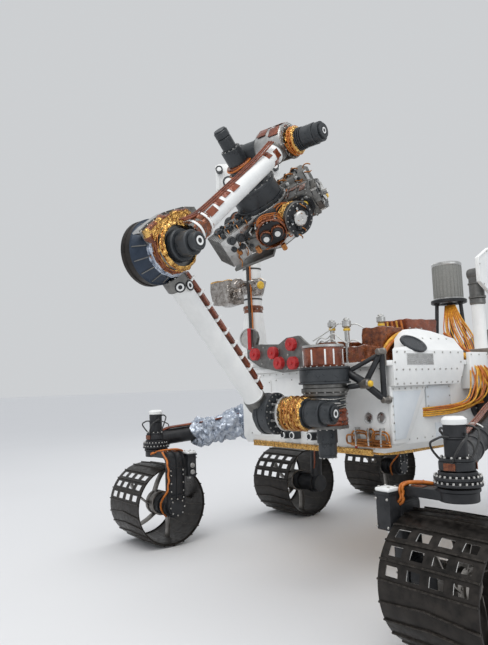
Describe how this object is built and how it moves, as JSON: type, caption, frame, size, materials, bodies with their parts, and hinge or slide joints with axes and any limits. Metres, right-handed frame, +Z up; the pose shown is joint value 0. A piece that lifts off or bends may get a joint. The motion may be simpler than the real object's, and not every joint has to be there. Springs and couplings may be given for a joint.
{
  "type": "mars rover",
  "caption": "Wheeled planetary rover with a jointed instrument arm, camera mast, antennas and a finned power source.",
  "frame": {"origin": "on the floor below the middle of the whole machine as parked with its arm raised", "axes": "+X is the rover's front, +Y its port side, +Z up"},
  "size_m": [3.5789, 2.69, 2.445],
  "materials": {
    "white_paint": "satin white thermal paint",
    "black_finish": "black anodised",
    "drum_finish": "dark anodised, scuffed",
    "bare_metal": "machined, clear",
    "titanium": "bare titanium look",
    "amber_film": "amber film wrap",
    "gold_film": "gold film",
    "grey_paint": "grey"
  },
  "bodies": {
    "chassis": {"body": "white_paint", "deck": "white_paint", "belly_pan": "gold_film", "cheek_panel": "white_paint", "corner_cover": "white_paint", "deck_boxes": "amber_film", "deck_posts": "bare_metal", "hoist_pads": "bare_metal", "mast_booms": "gold_film", "sample_inlets": "bare_metal", "arm_mount": "black_finish", "mast": "white_paint", "relay_tower": "black_finish", "relay_antenna": "grey_paint", "dish_base": "white_paint", "differential": "titanium", "power_source": "grey_paint", "heat_plates": "white_paint", "power_mount": "bare_metal", "hazard_cameras": "black_finish", "sample_plate": "bare_metal", "rocker_left": "black_finish", "rocker_right": "black_finish", "bogie_left": "black_finish", "bogie_right": "black_finish"},
    "arm_azimuth": {"shoulder_yoke": "black_finish"},
    "arm_upper": {"upper_arm": "white_paint", "elbow_cable_drum": "black_finish"},
    "arm_fore": {"forearm_drives": "black_finish", "forearm_tube": "white_paint"},
    "arm_wrist": {"turret_drive": "black_finish"},
    "turret": {"turret_frame": "bare_metal", "turret_drill": "bare_metal", "turret_sampler": "black_finish", "turret_sensors": "bare_metal"},
    "head_pan": {"mast_neck": "black_finish"},
    "head_tilt": {"mast_head": "white_paint"},
    "dish_azimuth": {"dish_yoke": "black_finish"},
    "dish_elevation": {"dish_panel": "white_paint"},
    "inlet_lid_1": {"inlet_lid_1": "bare_metal"},
    "inlet_lid_2": {"inlet_lid_2": "bare_metal"},
    "inlet_lid_3": {"inlet_lid_3": "bare_metal"},
    "wheel_front_left": {"wheel_drum_front_left": "drum_finish", "wheel_hub_front_left": "titanium"},
    "steer_front_left": {"knuckle_front_left": "black_finish"},
    "wheel_front_right": {"wheel_drum_front_right": "drum_finish", "wheel_hub_front_right": "titanium"},
    "steer_front_right": {"knuckle_front_right": "black_finish"},
    "wheel_middle_left": {"wheel_drum_middle_left": "drum_finish", "wheel_hub_middle_left": "titanium"},
    "wheel_middle_right": {"wheel_drum_middle_right": "drum_finish", "wheel_hub_middle_right": "titanium"},
    "wheel_rear_left": {"wheel_drum_rear_left": "drum_finish", "wheel_hub_rear_left": "titanium"},
    "steer_rear_left": {"knuckle_rear_left": "black_finish"},
    "wheel_rear_right": {"wheel_drum_rear_right": "drum_finish", "wheel_hub_rear_right": "titanium"},
    "steer_rear_right": {"knuckle_rear_right": "black_finish"}
  },
  "joints": [
    {"name": "steer_front_left", "type": "hinge", "parent": "chassis", "child": "steer_front_left", "pos_m": [0.882, 1.145, 0.25545], "axis": [0, 0, 1], "range_deg": [-95, 95]},
    {"name": "wheel_front_left", "type": "hinge", "parent": "steer_front_left", "child": "wheel_front_left", "pos_m": [0.882, 1.145, 0.25545], "axis": [0, 1, 0], "continuous": true},
    {"name": "steer_front_right", "type": "hinge", "parent": "chassis", "child": "steer_front_right", "pos_m": [0.882, -1.145, 0.25545], "axis": [0, 0, 1], "range_deg": [-95, 95]},
    {"name": "wheel_front_right", "type": "hinge", "parent": "steer_front_right", "child": "wheel_front_right", "pos_m": [0.882, -1.145, 0.25545], "axis": [0, 1, 0], "continuous": true},
    {"name": "wheel_middle_left", "type": "hinge", "parent": "chassis", "child": "wheel_middle_left", "pos_m": [-0.338, 1.145, 0.25545], "axis": [0, 1, 0], "continuous": true},
    {"name": "wheel_middle_right", "type": "hinge", "parent": "chassis", "child": "wheel_middle_right", "pos_m": [-0.338, -1.145, 0.25545], "axis": [0, 1, 0], "continuous": true},
    {"name": "steer_rear_left", "type": "hinge", "parent": "chassis", "child": "steer_rear_left", "pos_m": [-1.378, 1.145, 0.25545], "axis": [0, 0, 1], "range_deg": [-95, 95]},
    {"name": "wheel_rear_left", "type": "hinge", "parent": "steer_rear_left", "child": "wheel_rear_left", "pos_m": [-1.378, 1.145, 0.25545], "axis": [0, 1, 0], "continuous": true},
    {"name": "steer_rear_right", "type": "hinge", "parent": "chassis", "child": "steer_rear_right", "pos_m": [-1.378, -1.145, 0.25545], "axis": [0, 0, 1], "range_deg": [-95, 95]},
    {"name": "wheel_rear_right", "type": "hinge", "parent": "steer_rear_right", "child": "wheel_rear_right", "pos_m": [-1.378, -1.145, 0.25545], "axis": [0, 1, 0], "continuous": true},
    {"name": "arm_azimuth", "type": "hinge", "parent": "chassis", "child": "arm_azimuth", "pos_m": [0.762, 0.36, 0.9], "axis": [0, 0, 1], "range_deg": [-45, 80]},
    {"name": "arm_elevation", "type": "hinge", "parent": "arm_azimuth", "child": "arm_upper", "pos_m": [0.9503, 0.19556, 0.862], "axis": [0.2079, -0.9781, 0], "range_deg": [-70, 20]},
    {"name": "arm_elbow", "type": "hinge", "parent": "arm_upper", "child": "arm_fore", "pos_m": [1.62523, 0.33902, 1.58], "axis": [-0.2079, 0.9781, 0], "range_deg": [-15, 90]},
    {"name": "arm_wrist", "type": "hinge", "parent": "arm_fore", "child": "arm_wrist", "pos_m": [0.90201, 0.13417, 2.23], "axis": [0.2079, -0.9781, 0], "range_deg": [-150, 25]},
    {"name": "arm_turret", "type": "hinge", "parent": "arm_wrist", "child": "turret", "pos_m": [0.98956, 0.04033, 2.16318], "axis": [-0.6953, -0.1478, -0.7034], "range_deg": [-175, 175]},
    {"name": "head_pan", "type": "hinge", "parent": "chassis", "child": "head_pan", "pos_m": [0.466, -0.559, 2], "axis": [0, 0, 1], "range_deg": [-181, 181]},
    {"name": "head_tilt", "type": "hinge", "parent": "head_pan", "child": "head_tilt", "pos_m": [0.466, -0.559, 2.22], "axis": [-0.766, 0.6428, 0], "range_deg": [-87, 87]},
    {"name": "dish_azimuth", "type": "hinge", "parent": "chassis", "child": "dish_azimuth", "pos_m": [-0.588, 0.4, 1.5], "axis": [0, 0, 1], "range_deg": [-180, 180]},
    {"name": "dish_elevation", "type": "hinge", "parent": "dish_azimuth", "child": "dish_elevation", "pos_m": [-0.588, 0.4, 1.66], "axis": [0, 1, 0], "range_deg": [-90, 90]},
    {"name": "inlet_lid_1", "type": "hinge", "parent": "chassis", "child": "inlet_lid_1", "pos_m": [0.404, -0.06, 1.172], "axis": [0, -1, 0], "range_deg": [0, 110]},
    {"name": "inlet_lid_2", "type": "hinge", "parent": "chassis", "child": "inlet_lid_2", "pos_m": [0.404, -0.17, 1.172], "axis": [0, -1, 0], "range_deg": [0, 110]},
    {"name": "inlet_lid_3", "type": "hinge", "parent": "chassis", "child": "inlet_lid_3", "pos_m": [0.404, -0.28, 1.172], "axis": [0, -1, 0], "range_deg": [0, 110]}
  ]
}
